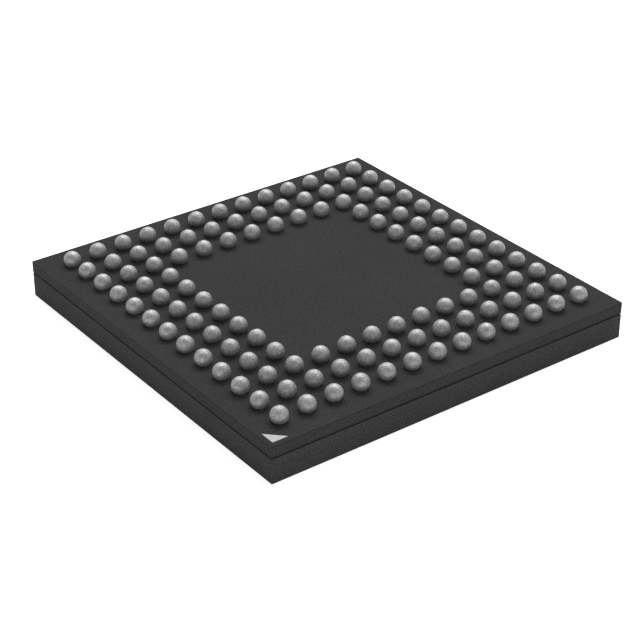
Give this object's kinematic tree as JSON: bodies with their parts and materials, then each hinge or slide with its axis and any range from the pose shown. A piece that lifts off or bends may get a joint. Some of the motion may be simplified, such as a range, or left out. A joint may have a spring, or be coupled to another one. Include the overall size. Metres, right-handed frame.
{
  "type": "ball grid array microcontroller",
  "caption": "Square fine-pitch ball grid array microcontroller package lying on its marking face: dark mould cap and substrate, rings of solder balls, pale corner mark.",
  "frame": {"origin": "centre of the flat marking face, on which the package lies with its balls up", "axes": "+Z points from the marking face to the solder balls; +X runs along a lettered ball row from ball 1 upwards; +Y runs from row A towards the last row, so ball A1 is in the -X -Y corner"},
  "size_m": [0.007, 0.007, 0.0009],
  "materials": {
    "mould_compound": "fine-grained matte epoxy moulding compound, sawn at the sides",
    "solder_mask": "matte black solder mask with a fine grain",
    "laminate": "black glass-filled laminate, sawn edge",
    "copper": "bright copper",
    "gold": "drawn gold wire",
    "silicon": "polished silicon",
    "die_film": "adhesive film",
    "solder": "satin tin-silver-copper solder, slightly mottled",
    "mark_ink": "pale matte ink"
  },
  "bodies": {
    "root": {"mould_cap": "mould_compound", "silicon_die": "silicon", "die_attach_film": "die_film", "bond_wires_front": "gold", "bond_wires_right": "gold", "bond_wires_back": "gold", "bond_wires_left": "gold", "die_side_solder_mask": "solder_mask", "bond_fingers": "copper", "die_ground_plane": "copper", "laminate_core": "laminate", "filled_vias": "copper", "ball_lands": "copper", "ball_side_solder_mask": "solder_mask", "pin_a1_corner_mark": "mark_ink", "solder_balls_row_a": "solder", "solder_balls_row_b": "solder", "solder_balls_row_c": "solder", "solder_balls_row_d": "solder", "solder_balls_row_e": "solder", "solder_balls_row_f": "solder", "solder_balls_row_g": "solder", "solder_balls_row_h": "solder", "solder_balls_row_j": "solder", "solder_balls_row_k": "solder", "solder_balls_row_l": "solder", "solder_balls_row_m": "solder", "solder_balls_row_n": "solder"}
  },
  "joints": []
}
